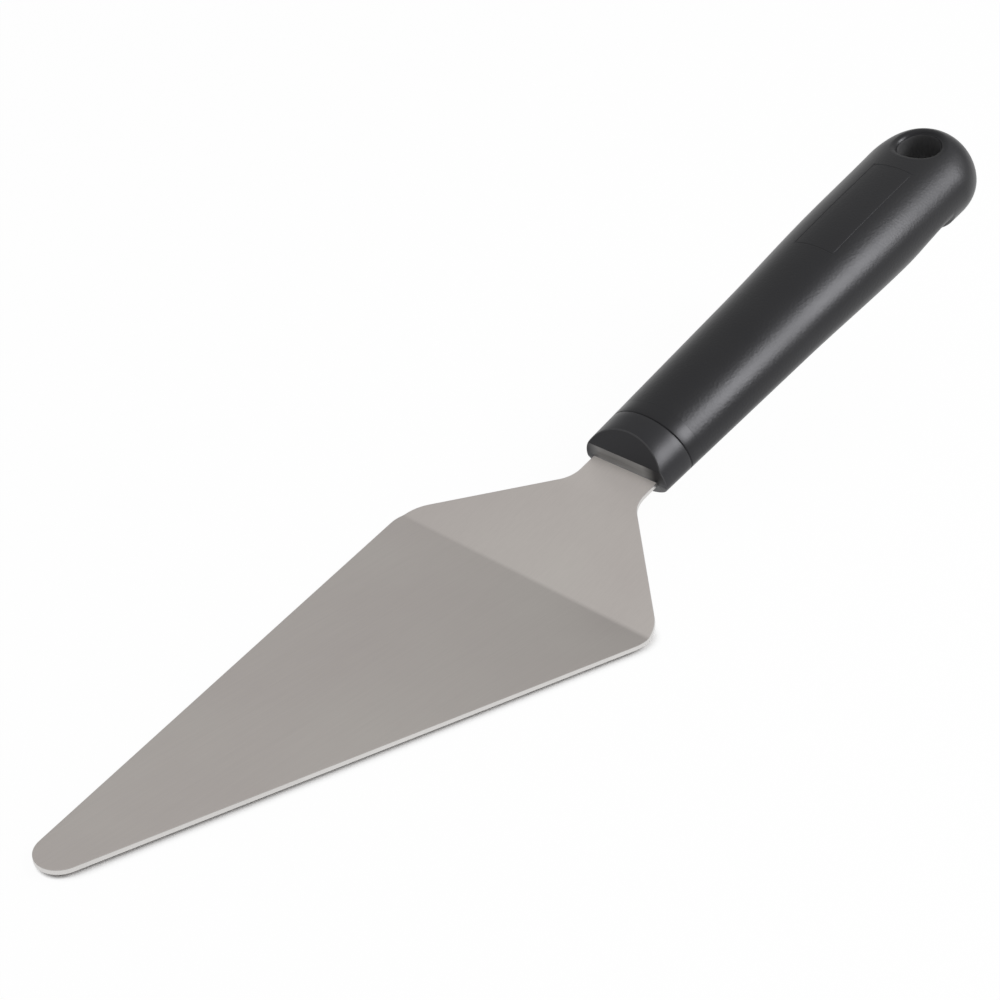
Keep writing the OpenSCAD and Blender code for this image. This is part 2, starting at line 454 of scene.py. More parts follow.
@dataclass(frozen=True, kw_only=True)
class SteelFinish(Finish):
    """Stainless sheet: a soft brushed face that is duller at the neck, with painted shade in front of the
    heel and painted light at the neck, or the polished cut edge.

    The ends of the heel and of the neck count from the bend line and from the handle's front.
    """

    cloud_scale: float = 26.0
    cloud_contrast: float = 1.6
    brush_depth: float
    brush_scale: float = 2600.0
    brush_cells: float = 0.1
    brush_drawn: Triple = (0.03, 1.0, 0.3)
    brush_tone: float = 0.02
    brush_ends: Pair = (0.25, 0.75)
    wave_depth: float
    wave_scale: float = 42.0
    heel_shade: float
    heel_least: float = 0.15
    heel_ends: Pair = (-0.07, -0.003)
    heel_line: Pair = (-0.0005, 0.0005)
    side_least: float = 0.2
    side_ends: Pair = (0.025, -0.02)
    neck_dull_and_light: float
    neck_ends: Pair = (-0.010, -0.003)
    neck_light: float = 1.15
    neck_rough: float = 0.25

    def shade(self, wiring: Wiring, spot: Sequence[Socket], neck: Socket) -> Socket:
        """How light the steel is: painted shade in front of the heel, most at one side, and painted light at
        the neck.

        Args:
            wiring: The wiring of the material.
            spot: The three coordinates of the place.
            neck: How far the place belongs to the dull neck.

        Returns:
            The level.
        """
        heel_ends, heel_line = ([self.rise.bend_x + x for x in e] for e in (self.heel_ends, self.heel_line))
        # Painted shade before the bend, deepest near the heel and towards one side; painted light at the
        # neck.
        inward = wiring.span(spot[0], 0.0, 1.0, heel_ends)
        sideways = wiring.span(spot[1], self.side_least, 1.0, self.side_ends)
        before = wiring.span(spot[0], 1.0, 0.0, heel_line)
        painted_mask = wiring.span(wiring.math("MULTIPLY", inward, sideways), self.heel_least, 1.0)
        loss = wiring.span(wiring.math("MULTIPLY", painted_mask, before), 0.0, self.heel_shade)
        return wiring.math("SUBTRACT", wiring.span(neck, 1.0, self.neck_light), loss)

    def sockets(self, on: Canvas) -> dict[str, object]:
        """What the shader takes, by the names of its sockets.

        Args:
            on: The material in the making.

        Returns:
            The sockets' values.
        """
        wiring, effects = on.wiring, on.effects
        spot = wiring.add("ShaderNodeSeparateXYZ", {0: on.place}).outputs
        front = self.rise.handle().to_translation().x
        neck = wiring.span(spot[0], 0.0, self.neck_dull_and_light, [front + x for x in self.neck_ends])
        waves = wiring.group(effects.mottle, Place=on.place, Scale=self.wave_scale, Contrast=1.0)
        drawn = wiring.drawn(on.place, self.brush_drawn)
        lines = wiring.group(effects.grain, Place=drawn, Scale=self.brush_scale, Cells=self.brush_cells)
        streaks = wiring.span(lines, 1 - self.brush_tone, 1 + self.brush_tone, self.brush_ends)
        level = wiring.math("MULTIPLY", streaks, self.shade(wiring, spot, neck))
        lit = wiring.add("ShaderNodeVectorMath", {0: self.tone(on), 1: level}, operation="MULTIPLY")
        satin = wiring.span(on.clouds, self.roughness + self.rough_drift, self.roughness - self.rough_drift)
        wavy = wiring.add("ShaderNodeBump", {"Height": waves, "Distance": self.wave_depth}).outputs[0]
        relief = {"Height": lines, "Distance": self.brush_depth, "Normal": wavy}
        return {
            "Base Color": lit.outputs[0],
            "Metallic": wiring.span(neck, 1.0, 0.0) if self.neck_dull_and_light else 1.0,
            "Roughness": wiring.math("ADD", satin, wiring.span(neck, 0.0, self.neck_rough)),
            "Normal": wiring.add("ShaderNodeBump", relief).outputs[0],
        }


@dataclass(frozen=True, kw_only=True)
class PlasticFinish(Finish):
    """Black moulded plastic with a fine grain that starts a little way along the handle."""

    cloud_scale: float = 60.0
    cloud_contrast: float = 1.8
    smooth_roughness: float
    grain_scale: float
    grain_cells: float = 0.6
    grain_depth: float
    grain_from: float
    grain_fade: float
    ior: float = 1.45

    def sockets(self, on: Canvas) -> dict[str, object]:
        """What the shader takes, by the names of its sockets.

        Args:
            on: The material in the making.

        Returns:
            The sockets' values.
        """
        wiring, handle = on.wiring, self.rise.handle()
        axis = handle.to_3x3() @ FORWARD
        reach = wiring.add("ShaderNodeVectorMath", {0: on.place, 1: axis}, operation="DOT_PRODUCT")
        edge = handle.to_translation().dot(axis) + self.grain_from
        grained = wiring.span(reach.outputs["Value"], 0.0, 1.0, (edge, edge + self.grain_fade))
        numbers = {"Scale": self.grain_scale, "Cells": self.grain_cells}
        pits = wiring.group(on.effects.grain, Place=on.place, **numbers)
        relief = wiring.math("MULTIPLY", pits, grained)
        matt = wiring.span(grained, self.smooth_roughness, self.roughness)
        drift = wiring.span(on.clouds, -self.rough_drift, self.rough_drift)
        bump = wiring.add("ShaderNodeBump", {"Height": relief, "Distance": self.grain_depth})
        return {
            "Base Color": self.tone(on),
            "Roughness": wiring.math("ADD", matt, drift),
            "Normal": bump.outputs[0],
            "IOR": self.ior,
            "Specular Tint": COOL_GLOSS,
        }


@dataclass(frozen=True, kw_only=True)
class PaintedReflectionFinish(PlasticFinish):
    """Black plastic painted grey in streaks across its middle as a painted reflection of the steel, fading
    out to both sides of a middle set off centre.
    """

    reflection_light: Colour
    reflection_dark: Colour
    reflection_scale: float
    reflection_drawn: Triple = (1.0, 0.1, 1.0)
    reflection_middle: float
    reflection_half: float
    reflection_fade: float

    def tone(self, on: Canvas) -> Socket:
        """The colour over the surface, grey where the reflection is painted.

        Args:
            on: The material in the making.

        Returns:
            The colour.
        """
        wiring, drawn = on.wiring, on.wiring.drawn(on.place, self.reflection_drawn)
        numbers = {"Scale": self.reflection_scale, "Contrast": self.cloud_contrast}
        streaks = wiring.group(on.effects.mottle, Place=drawn, **numbers)
        grey = wiring.blend(streaks, self.reflection_dark, self.reflection_light)
        across = wiring.add("ShaderNodeSeparateXYZ", {0: on.place}).outputs["Y"]
        sideways = wiring.math("ABSOLUTE", wiring.math("SUBTRACT", across, self.reflection_middle), 0.0)
        # The painted reflection fades out to both sides of its middle.
        painted_mask = wiring.span(sideways, 1.0, 0.0, (self.reflection_half - self.reflection_fade, self.reflection_half))
        return wiring.blend(painted_mask, super().tone(on), grey)


class Maker(ABC):
    """Makes one piece of the part and dresses it."""

    @abstractmethod
    def build(self) -> bpy.types.Object:
        """Makes the bare piece."""

    @abstractmethod
    def finishes(self) -> tuple[Finish, ...]:
        """The finishes of the piece, in the order of Look."""

    def dressed(self, effects: Effects) -> bpy.types.Object:
        """Makes the piece with its finishes.

        Args:
            effects: The shared node groups.

        Returns:
            The piece.
        """
        piece = self.build()
        for finish in self.finishes():
            piece.data.materials.append(finish.material(effects))
        return piece


@dataclass
class Blade(Maker):
    """The stamped sheet: blade, heel bend, riser, neck and tang."""

    rise: Rise
    blade_len: float = 0.119
    heel_w: float = 0.071
    heel_set: float = 0.0015
    tip_r: float = 0.005
    heel_r: float = 0.010
    sheet_t: float = 0.001
    bend_r: float = 0.004
    taper: float = math.radians(45)
    neck_w: float = 0.0175
    neck_r: float = 0.007
    shoulder_len: float = 0.005
    tang_w: float = 0.009
    tang_len: float = 0.048
    lock_hole_r: float = 0.00225
    lock_holes: tuple[float, ...] = (0.014, 0.034)
    low_roll: float = 0.00012
    top_roll: float = 0.00006
    border: float = 0.0004
    bend_steps: int = 10
    roll_steps: int = 5
    corner_steps: int = 20
    neck_steps: int = 12
    hole_sides: int = 24

    @property
    def shoulder(self) -> float:
        """Where the tang begins, from the bend line."""
        return self.rise.riser_len + self.shoulder_len

    @property
    def bend_reach(self) -> float:
        """How far the bend runs to each side of its line."""
        return (self.bend_r + self.sheet_t) * math.tan(self.rise.angle / 2)

    def outline(self) -> list[Vector]:
        """The cut outline of the whole sheet laid flat, with the bend line at x = 0.

        Returns:
            The points, once round from the tip.
        """
        corner = Vector((self.heel_set, self.heel_w / 2))
        tip = Vector((self.tip_r - self.blade_len, 0))
        reach = corner - tip
        touch = math.atan2(reach.y, reach.x) + math.acos(self.tip_r / reach.length)
        edge = touch - math.pi / 2
        tangent = self.heel_r * math.tan((edge + self.taper) / 2)
        heel = corner - tangent * ray(edge) + self.heel_r * ray(edge - math.pi / 2)
        half, tang_half = self.neck_w / 2, self.tang_w / 2
        run = (corner.y - half) / math.tan(self.taper)
        fillet = Vector((corner.x + run + self.neck_r * math.tan(self.taper / 2), half + self.neck_r))
        end = Vector((self.shoulder + self.tang_len - tang_half, 0))
        side = arc(tip, self.tip_r, math.pi, touch, self.corner_steps)
        side += arc(heel, self.heel_r, edge + math.pi / 2, math.pi / 2 - self.taper, self.corner_steps)
        side += arc(fillet, self.neck_r, 1.5 * math.pi - self.taper, 1.5 * math.pi, self.neck_steps)
        side += [Vector((self.shoulder, half)), Vector((self.shoulder, tang_half))]
        side += arc(end, tang_half, math.pi / 2, 0, self.neck_steps)
        return side + [Vector((p.x, -p.y)) for p in side[-2:0:-1]]

    def outward(self, outline: list[Vector]) -> list[Vector]:
        """Which way is outward along an outline.

        Args:
            outline: The points, turning to the right.

        Returns:
            The direction at each point.
        """
        sides = [(b - a).normalized() for a, b in zip(outline, outline[1:] + outline[:1])]
        turned = [Vector((-s.y, s.x)) for s in sides]
        return [(turned[i - 1] + turned[i]).normalized() for i in range(len(outline))]

    def bent(self, flat: Vector) -> Vector:
        """Where a point of the flat sheet lies on the bent one.

        Args:
            flat: The point, with its height above the sheet's lower face.

        Returns:
            The point in the part's frame.
        """
        radius, reach = self.bend_r + self.sheet_t, self.bend_reach
        if flat.x > reach:
            return self.rise.riser() @ flat
        if flat.x < -reach:
            return flat + Vector((self.rise.bend_x, 0, 0))
        turn = self.rise.angle * (flat.x + reach) / (2 * reach)
        x = self.rise.bend_x - reach + (radius - flat.z) * math.sin(turn)
        return Vector((x, flat.y, radius - (radius - flat.z) * math.cos(turn)))

    def build(self) -> bpy.types.Object:
        """Makes the bent sheet with rolled edges and the lock holes of its tang.

        Returns:
            The blade.
        """
        shell = Shell()
        outline = self.outline()
        outward = self.outward(outline)

        def ring(inset: float, height: float) -> Ring:
            """One ring of the edge, set in from the outline at a height."""
            spots = zip(outline, outward)
            return shell.ring(Vector((*(p - n * inset), height)) for p, n in spots)

        thick = self.sheet_t
        edge = [ring(inset, depth) for inset, depth in rolled(self.low_roll, self.roll_steps)]
        for inset, depth in reversed(rolled(self.top_roll, self.roll_steps)):
            edge.append(ring(inset, thick - depth))
        low, top = ring(self.low_roll + self.border, 0.0), ring(self.top_roll + self.border, thick)
        shell.loft([low, edge[0]])
        shell.loft(edge, Look.EDGE)
        shell.loft([edge[-1], top])
        lows, tops = [low], [top]
        for start in self.lock_holes:
            centre = Vector((self.shoulder + start, 0))
            circle = arc(centre, self.lock_hole_r, 0, 2 * math.pi, self.hole_sides)[:-1]
            lows.append(shell.ring(Vector((*p, 0.0)) for p in circle))
            tops.append(shell.ring(Vector((*p, thick)) for p in circle))
            shell.loft([lows[-1], tops[-1]])
        shell.fill_rings(lows, -UPWARD)
        shell.fill_rings(tops, UPWARD)
        for x in spread(-self.bend_reach, self.bend_reach, self.bend_steps) + [self.bend_reach]:
            whole = shell.mesh.verts[:] + shell.mesh.edges[:] + shell.mesh.faces[:]
            shell.cut(whole, FORWARD * x, FORWARD)
        for corner in shell.mesh.verts:
            corner.co = self.bent(corner.co)
        return shell.piece("blade_sheet")

    def finishes(self) -> tuple[Finish, ...]:
        """The brushed faces and the polished edge.

        Returns:
            The finishes, in the order of Look.
        """
        face = SteelFinish(
            name="satin_steel",
            light=(0.704, 0.667, 0.628, 1.0),
            dark=(0.652, 0.601, 0.576, 1.0),
            rise=self.rise,
            roughness=0.31,
            brush_depth=0.000004,
            wave_depth=0.00012,
            # Painted shade in front of the heel; the neck's dullness also sets the painted light at the
            # neck.
            heel_shade=0.12,
            neck_dull_and_light=0.75,
        )
        edge = replace(
            face,
            name="polished_edge",
            light=(0.70, 0.685, 0.67, 1.0),
            dark=(0.64, 0.625, 0.61, 1.0),
            roughness=0.30,
            brush_depth=0.000002,
            wave_depth=0.00004,
            heel_shade=0.0,
            neck_dull_and_light=0.0,
        )
        return face, edge


@dataclass
class HandleShape:
    """The outer form that the collar and the grip share, by the distance from the handle's front."""

    length: float = 0.1294
    collar_len: float = 0.0086
    front_w: float = 0.0222
    front_top: float = 0.0088
    front_low: float = 0.0052
    rear_w: float = 0.0289
    rear_top: float = 0.0106
    rear_low: float = 0.0099
    end_len: float = 0.0149
    crown_len: float = 0.0099
    belly_out: float = 0.0004
    belly_at: float = 0.084
    belly_len: float = 0.032
    butt_len: float = 0.0192
    step_len: float = 0.0015
    hollow_depth: float = 0.0032
    hollow_len: float = 0.018
    plan_power: float = 2.0
    top_power: float = 2.3
    low_power: float = 2.5
    slope_step: float = 2e-5

    @property
    def step_to(self) -> float:
        """Where the step under the butt ends."""
        return self.length - self.butt_len

    @property
    def step_from(self) -> float:
        """Where the step under the butt begins."""
        return self.step_to - self.step_len

    def taper(self, front: float, rear: float, along: float) -> float:
        """A size that runs evenly from the front to where the end begins to round."""
        return front + (rear - front) * along / (self.length - self.end_len)

    def rounding(self, along: float, length: float, power: float) -> float:
        """The share of a size that is left within the rounded end."""
        return math.sqrt(1 - part_way(self.length - length, self.length, along) ** power)

    def belly(self, along: float) -> float:
        """How far the belly stands out."""
        return self.belly_out * eased(max(1 - abs(along - self.belly_at) / self.belly_len, 0))

    def hollow(self, along: float) -> float:
        """How deep the finger hollow is."""
        inward = eased(part_way(self.step_from - self.hollow_len, self.step_from, along))
        return self.hollow_depth * (inward - eased(part_way(self.step_from, self.step_to, along)))

    def half_width(self, along: float) -> float:
        """Half the section's width."""
        full = self.taper(self.front_w, self.rear_w, along) / 2 + self.belly(along)
        return full * self.rounding(along, self.end_len, self.plan_power)

    def rise_of(self, along: float, half: Half) -> float:
        """The section's height above, or depth below, the middle of the sheet.

        Args:
            along: Distance from the handle's front.
            half: The top or the underside.

        Returns:
            The height or depth.
        """
        if half is Half.TOP:
            full = self.taper(self.front_top, self.rear_top, along) + self.belly(along)
            return full * self.rounding(along, self.crown_len, self.top_power)
        full = self.taper(self.front_low, self.rear_low, along) + self.belly(along) - self.hollow(along)
        return full * self.rounding(along, self.end_len, self.low_power)

    def radii(self, along: float, half: Half) -> Pair:
        """Half the section's width, and its height or depth."""
        return self.half_width(along), self.rise_of(along, half)

    def section(self, along: float, angle: float, inset: float = 0.0) -> Vector:
        """The point of the section at an angle from its side, set in from the outer form."""
        wide, tall = self.radii(along, Half.at(math.sin(angle)))
        return Vector((along, (wide - inset) * math.cos(angle), (tall - inset) * math.sin(angle)))

    def normal(self, spot: Vector) -> Vector:
        """The outward direction of the outer form.

        Args:
            spot: A point on the form.

        Returns:
            The direction there.
        """
        half = Half.at(spot.z)

        def fullness(along: float) -> float:
            """How far out the point lies if the section were taken at this place."""
            wide, tall = self.radii(along, half)
            return (spot.y / wide) ** 2 + (spot.z / tall) ** 2

        step = min(self.slope_step, (self.length - spot.x) / 3)
        slope = (fullness(spot.x + step) - fullness(spot.x - step)) / (2 * step)
        wide, tall = self.radii(spot.x, half)
        return Vector((slope, 2 * spot.y / wide**2, 2 * spot.z / tall**2)).normalized()

    def surface(self, along: float, across: float, half: Half) -> Vector:
        """The point of the outer form above or below a spot of the handle's plan."""
        share = max(1 - (across / self.half_width(along)) ** 2, 0.0)
        return Vector((along, across, half.value * self.rise_of(along, half) * math.sqrt(share)))


@dataclass
class HandleCore(Maker):
    """The core moulded round the tang: the collar with its half-moon facet, and the spigot."""

    rise: Rise
    shape: HandleShape
    band_top: float = 0.0037
    rake: float = math.radians(29.8)
    low_rake: float = math.radians(13.0)
    cove_r: float = 0.00025
    cove_sink: float = 0.00005
    ridge_soft: float = 0.00022
    front_roll: float = 0.0002
    groove_roll: float = 0.00008
    border: float = 0.0003
    mouth_w: float = 0.0176
    mouth_h: float = 0.0011
    mouth_r: float = 0.000275
    mouth_depth: float = 0.00505
    pocket_w: float = 0.0091
    pocket_depth: float = 0.05305
    spigot_w: float = 0.013
    spigot_t: float = 0.008
    spigot_lift: float = 0.0015
    spigot_r: float = 0.002
    spigot_len: float = 0.062
    ridge_span: Pair = (0.7, 1.35)
    columns: tuple[int, ...] = (6, 10, 56, 10, 6, 64)
    side_shares: Triple = (0.25, 0.5, 0.75)
    settle_rounds: int = 6
    roll_steps: int = 6
    ridge_steps: int = 6
    groove_steps: int = 4
    cove_steps: int = 8

    def front(self, height: float) -> float:
        """How far back the front lies: undercut, upright, then raked past a soft ridge.

        Args:
            height: Height above the middle of the sheet.

        Returns:
            The distance from the upright band.
        """
        under = -self.mouth_h / 2 - height
        if under > 0:
            return under * math.tan(self.low_rake)
        over = height - self.band_top
        soft = self.ridge_soft
        if over <= -soft:
            return 0.0
        if over >= soft:
            return over * math.tan(self.rake)
        return math.tan(self.rake) * (over + soft) ** 2 / (4 * soft)

    def angles(self) -> list[float]:
        """Angles of the collar's columns, closer together at the ends of the ridge.

        Returns:
            The angles, once round from the side.
        """
        ridge = math.asin(self.band_top / self.shape.front_top)
        low, high = (ridge * share for share in self.ridge_span)
        turns = (0.0, low, high, math.pi - high, math.pi - low, math.pi, 2 * math.pi)
        return between(turns, self.columns)

    def front_rings(self, shell: Shell) -> list[Ring]:
        """The rolled edge round the front, from the face to the side.

        Args:
            shell: The mesh that the rings go into.

        Returns:
            The rings in order.
        """
        roll = self.front_roll
        corners = []
        for angle in self.angles():
            along = roll
            for _ in range(self.settle_rounds):
                along = self.front(self.shape.section(along, angle).z) + roll
            wide, tall = self.shape.radii(along, Half.at(math.sin(angle)))
            inward = -Vector((0, math.cos(angle) / wide, math.sin(angle) / tall)).normalized()
            corners.append((self.shape.section(along, angle), inward))

        def ring(inset: float, back: float) -> Ring:
            """One ring, set in from the side and back from the face."""
            spots = [spot + inward * inset for spot, inward in corners]
            return shell.ring(Vector((self.front(s.z) + back, s.y, s.z)) for s in spots)

        rings = [ring(roll + self.border, 0.0)]
        return rings + [ring(inset, depth) for inset, depth in rolled(roll, self.roll_steps)]

    def collar(self, shell: Shell) -> tuple[Ring, Ring]:
        """The collar's skin from the front face round its edge to the groove.

        Args:
            shell: The mesh of the core.

        Returns:
            The ring round the face and the ring at the groove.
        """
        angles = self.angles()
        rings = self.front_rings(shell)
        side = self.roll_steps + 1
        rear = self.shape.collar_len - self.groove_roll
        for share in self.side_shares:
            spots = [(c.co.x + (rear - c.co.x) * share, a) for c, a in zip(rings[side], angles)]
            rings.append(shell.ring(self.shape.section(h, a) for h, a in spots))
        for t in quarter(self.groove_steps):
            back = rear + self.groove_roll * math.sin(t)
            inset = self.groove_roll * (1 - math.cos(t))
            rings.append(shell.ring(self.shape.section(back, a, inset) for a in angles))
        shell.loft(rings[:2])
        # The rolled edge takes the lighter finish: a painted highlight along the edge.
        shell.loft(rings[1:side + 1], Look.EDGE)
        shell.loft(rings[side:])
        return rings[0], rings[-1]

    def pocket(self, shell: Shell) -> Ring:
        """The mouth for the neck and the narrower pocket for the tang behind it.

        Args:
            shell: The mesh of the core.

        Returns:
            The open ring of the mouth.
        """
        sizes = (
            (self.mouth_w, 0.0),
            (self.mouth_w, self.mouth_depth),
            (self.pocket_w, self.mouth_depth),
            (self.pocket_w, self.pocket_depth),
        )
        rings = []
        for width, depth in sizes:
            outline = rounded_rectangle(width, self.mouth_h, self.mouth_r, 0.0)
            rings.append(shell.ring(Vector((depth, p.x, p.y)) for p in outline))
        shell.loft(rings)
        shell.fill_rings(rings[-1:], FORWARD)
        return rings[0]

    def face(self, shell: Shell, border: Ring, mouth: Ring) -> None:
        """The front face, filled flat, cut at its ridges and then set back to its form.

        Args:
            shell: The mesh of the core.
            border: The ring round the face.
            mouth: The ring of the mouth in it.
        """
        for corner in border:
            corner.co.x = 0.0
        face = shell.fill_rings([border, mouth], FORWARD)
        low = self.mouth_h / 2
        ridge = [self.band_top + h * self.ridge_soft for h in spread(-1.0, 1.0, self.ridge_steps) + [1.0]]
        for height in (-low, low, *ridge):
            parts = {g for f in face if f.is_valid for g in (f, *f.edges, *f.verts)}
            shell.cut(parts, UPWARD * height, UPWARD)
            face = [f for f in shell.mesh.faces if all(abs(v.co.x) < FLAT_SLACK for v in f.verts)]
        for part in face:
            # Faces of the upright band take the finish with the painted reflection.
            if low < part.calc_center_median().z < self.band_top:
                part.material_index = Look.BAND
        for corner in {v for f in face for v in f.verts}:
            corner.co.x = self.front(corner.co.z)

    def cove(self, shell: Shell) -> None:
        """Fills the corner between the neck and the band with a hollow fillet.

        Args:
            shell: The mesh of the core, in the handle's frame.
        """
        low, sink, radius = self.rise.sheet_mid, self.cove_sink, self.cove_r
        profile = arc(Vector((-radius, low + radius)), radius, -math.pi / 2, 0, self.cove_steps)
        profile += [Vector((sink, low + radius)), Vector((sink, low - sink)), Vector((-radius, low - sink))]
        side = self.mouth_w / 2 - 2 * sink
        ends = [shell.ring(Vector((p.x, y, p.y)) for p in profile) for y in (-side, side)]
        # The cove takes the band's painted reflection too.
        shell.loft(ends, Look.BAND)
        for end in ends:
            shell.fill_rings([end], SIDEWAYS)

    def build(self) -> bpy.types.Object:
        """Makes the collar with its mouth for the tang, and the spigot behind it.

        Returns:
            The core.
        """
        shell = Shell()
        border, rear = self.collar(shell)
        self.face(shell, border, self.pocket(shell))
        self.cove(shell)
        section = rounded_rectangle(self.spigot_w, self.spigot_t, self.spigot_r, self.spigot_lift)
        spigot = shell.sleeve(section, self.shape.collar_len, self.spigot_len)
        shell.fill_rings([rear, spigot], FORWARD)
        bmesh.ops.transform(shell.mesh, matrix=self.rise.handle(), verts=shell.mesh.verts)
        return shell.piece("collar_core")

    def finishes(self) -> tuple[Finish, ...]:
        """The satin plastic, its rolled edge painted lighter as a highlight, and the band painted grey as a
        reflection of the steel.

        Returns:
            The finishes, in the order of Look.
        """
        satin = PlasticFinish(
            name="collar_plastic",
            light=(0.0120, 0.0120, 0.0130, 1.0),
            dark=(0.0090, 0.0090, 0.0100, 1.0),
            rise=self.rise,
            roughness=0.37,
            smooth_roughness=0.37,
            grain_scale=2500.0,
            grain_depth=0.000006,
            grain_from=-0.01,
            grain_fade=0.001,
        )
        # The rolled front edge is painted lighter: a painted highlight along the edge.
        edge_highlight = replace(
            satin, name="painted_edge_highlight", light=(0.060, 0.060, 0.061, 1.0), dark=(0.035, 0.035, 0.036, 1.0)
        )
        # The upright band and its cove are painted grey: a painted reflection of the steel, fading to the
        # sides.
        band = PaintedReflectionFinish(
            **vars(replace(satin, name="painted_reflection_band", roughness=0.5, smooth_roughness=0.5)),
            reflection_light=(0.31, 0.306, 0.30, 1.0),
            reflection_dark=(0.17, 0.167, 0.163, 1.0),
            reflection_scale=900.0,
            reflection_middle=0.0010,
            reflection_half=0.0093,
            reflection_fade=0.0032,
        )
        return satin, edge_highlight, band


@dataclass
class Grip(Maker):
    """The outer handle: a socket for the spigot, the rounded end and the hanging hole."""

    rise: Rise
    shape: HandleShape
    groove_w: float = 0.0003
    groove_d: float = 0.0001
    front_roll: float = 0.00008
    socket_w: float = 0.0133
    socket_t: float = 0.0083
    socket_lift: float = 0.0015
    socket_r: float = 0.00215
    socket_len: float = 0.06215
    hole_r: float = 0.0051
    hole_edge: float = 0.0121
    rim_r: float = 0.002
    rim_border: float = 0.0004
    rim_clear: float = 0.0006
    panel_from: float = 0.0727
    panel_to: float = 0.1060
    panel_half: float = 0.0052
    panel_line: float = 0.00010
    panel_slope: float = 0.00016
    panel_depth: float = 0.0001
    butt_run: float = 0.0016
    stretches: tuple[int, ...] = (40, 26, 5, 10, 4, 40)
    side_columns: int = 24
    line_columns: int = 3
    panel_columns: int = 14
    low_columns: int = 64
    hole_sides: int = 96
    groove_steps: int = 4
    rim_steps: int = 9
    end_slack: float = 1e-5
    rim_slack: float = 1e-6
    form_slack: float = 1e-4

    @property
    def groove(self) -> float:
        """Where the groove behind the collar ends."""
        return self.shape.collar_len + self.groove_w

    @property
    def panel_steps(self) -> tuple[float, ...]:
        """Distances across the panel's sunk line, from its outer lip to its inner one."""
        reach = self.panel_line + self.panel_slope
        return (reach, self.panel_line, -self.panel_line, -reach)

    @property
    def hole_at(self) -> float:
        """Where the middle of the hanging hole lies."""
        return self.shape.length - self.hole_edge

    def off_hole(self, spot: Vector) -> float:
        """How far a point lies from the middle of the hole, seen from above."""
        return math.hypot(spot.x - self.hole_at, spot.y)

    def angles(self, along: float) -> list[float]:
        """Angles of a ring's columns; those at the panel keep their distance from the middle.

        Args:
            along: Distance of the ring from the handle's front.

        Returns:
            The angles, once round from the side.
        """
        wide = self.shape.half_width(min(max(along, self.panel_from), self.panel_to))
        lines = [math.acos((self.panel_half + step) / wide) for step in self.panel_steps]
        turns = [0.0, *lines, *(math.pi - a for a in reversed(lines)), math.pi, 2 * math.pi]
        line, side = (1,) * self.line_columns, self.side_columns
        return between(turns, (side, *line, self.panel_columns, *line, side, self.low_columns))

    def stations(self) -> list[float]:
        """Where the outer rings lie: closer together at the panel, the step and the end.

        Returns:
            Their distances from the handle's front.
        """
        start = self.groove + self.front_roll
        near = [self.panel_from - s for s in self.panel_steps]
        far = [self.panel_to + s for s in reversed(self.panel_steps)]
        step_from, step_to = self.shape.step_from, self.shape.step_to
        butt = step_to + self.butt_run
        to_panel, in_panel, to_step, in_step, to_butt, to_end = self.stretches
        found = spread(start, near[0], to_panel)[1:] + near
        found += spread(near[-1], far[0], in_panel)[1:] + far
        found += spread(far[-1], step_from, to_step)[1:]
        found += spread(step_from, step_to, in_step) + spread(step_to, butt, to_butt)
        rest = self.shape.length - butt
        return found + [butt + rest * math.sin(t) for t in quarter(to_end)[:-1]]

    def sunk(self, column: int, along: float) -> bool:
        """Whether a corner of the grid lies in the panel's sunk line.

        Args:
            column: The corner's column.
            along: Its distance from the handle's front.

        Returns:
            True in the line.
        """
        first = self.side_columns
        last = first + 2 * self.line_columns + self.panel_columns
        line = self.panel_line + FLAT_SLACK
        within = first + 1 <= column <= last - 1
        within = within and self.panel_from - line <= along <= self.panel_to + line
        inside = first + 2 < column < last - 2
        return within and not (inside and self.panel_from + line < along < self.panel_to - line)

    def outer_rings(self, shell: Shell) -> list[Ring]:
        """The rings from the groove to the rounded end.

        Args:
            shell: The mesh that the rings go into.

        Returns:
            The rings in order.
        """
        places = [(self.shape.collar_len, self.groove_d), (self.groove, self.groove_d)]
        for inset, depth in rolled(self.front_roll, self.groove_steps):
            places.append((self.groove + depth, inset))
        rings = []
        for along, inset in places:
            rings.append(shell.ring(self.shape.section(along, a, inset) for a in self.angles(along)))
        for along in self.stations():
            spots = enumerate(self.angles(along))
            depths = [(a, self.panel_depth if self.sunk(c, along) else 0.0) for c, a in spots]
            rings.append(shell.ring(self.shape.section(along, a, d) for a, d in depths))
        return rings

    def rim(self, shell: Shell, half: Half) -> list[Ring]:
        """The rounded rim of the hanging hole, from the outer form down into the bore.

        Args:
            shell: The mesh that the rings go into.
            half: The top or the underside.

        Returns:
            The rings in order.
        """
        angles = spread(0.0, 2 * math.pi, self.hole_sides)

        def ring(radius: float, drop: float) -> Ring:
            """One ring at a radius, sunk below the outer form."""
            spots = [(self.hole_at + radius * math.cos(a), radius * math.sin(a)) for a in angles]
            return shell.ring(self.shape.surface(*s, half) - UPWARD * (half.value * drop) for s in spots)

        rings = [ring(self.hole_r + self.rim_r + self.rim_border, 0.0)]
        edge = rolled(self.rim_r, self.rim_steps)
        return rings + [ring(self.hole_r + inset, depth) for inset, depth in edge]

